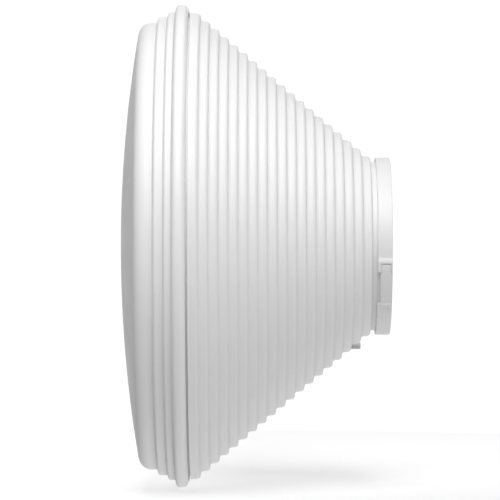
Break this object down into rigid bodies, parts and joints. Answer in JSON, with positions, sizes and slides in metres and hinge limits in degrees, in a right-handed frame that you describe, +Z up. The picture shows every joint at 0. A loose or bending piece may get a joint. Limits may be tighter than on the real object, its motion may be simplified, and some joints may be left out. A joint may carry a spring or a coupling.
{
  "type": "horn antenna",
  "caption": "Stepped conical horn antenna with a shallow domed radome on its mouth and a turning lock collar with a latch round its rear waveguide port.",
  "frame": {"origin": "on the horn's axis, at the rear face of the lock ring", "axes": "+Y along the horn's axis out of the rear port, -Y out of the radome, +Z up, +X the side with the latch"},
  "size_m": [0.305, 0.1694, 0.305],
  "materials": {
    "radome_plastic": "white moulded plastic, satin",
    "horn_coating": "white powder coat on cast aluminium, satin",
    "ring_plastic": "white moulded plastic, satin",
    "latch_plastic": "white moulded plastic, satin",
    "insert_aluminium": "turned, clear passivated",
    "seal_silicone": "dark silicone rubber, matt",
    "steel": "stainless steel",
    "vent_plastic": "light grey moulded plastic, matt"
  },
  "bodies": {
    "horn": {"horn_body": "horn_coating", "radome": "radome_plastic", "radome_gasket": "seal_silicone", "waveguide_insert": "insert_aluminium", "insert_seal": "seal_silicone", "port_seal": "seal_silicone", "insert_screw_1": "steel", "insert_screw_2": "steel", "insert_screw_3": "steel", "insert_screw_4": "steel", "insert_screw_5": "steel", "insert_screw_6": "steel", "index_pin_1": "steel", "index_pin_2": "steel", "vent_plug": "vent_plastic", "vent_seal": "seal_silicone"},
    "lock_ring": {"lock_ring": "ring_plastic", "latch_pin": "steel", "latch_spring": "steel"},
    "latch": {"latch_lever": "latch_plastic"}
  },
  "joints": [
    {"name": "ring_turn", "type": "hinge", "parent": "horn", "child": "lock_ring", "pos_m": [0, 0, 0], "axis": [0, 1, 0], "range_deg": [0, 45]},
    {"name": "latch_lift", "type": "hinge", "parent": "lock_ring", "child": "latch", "pos_m": [0.05368, -0.004, -0.01289], "axis": [0, -1, 0], "range_deg": [0, 15], "stiffness_Nm_per_rad": 0.03, "springref_deg": -17.19}
  ]
}
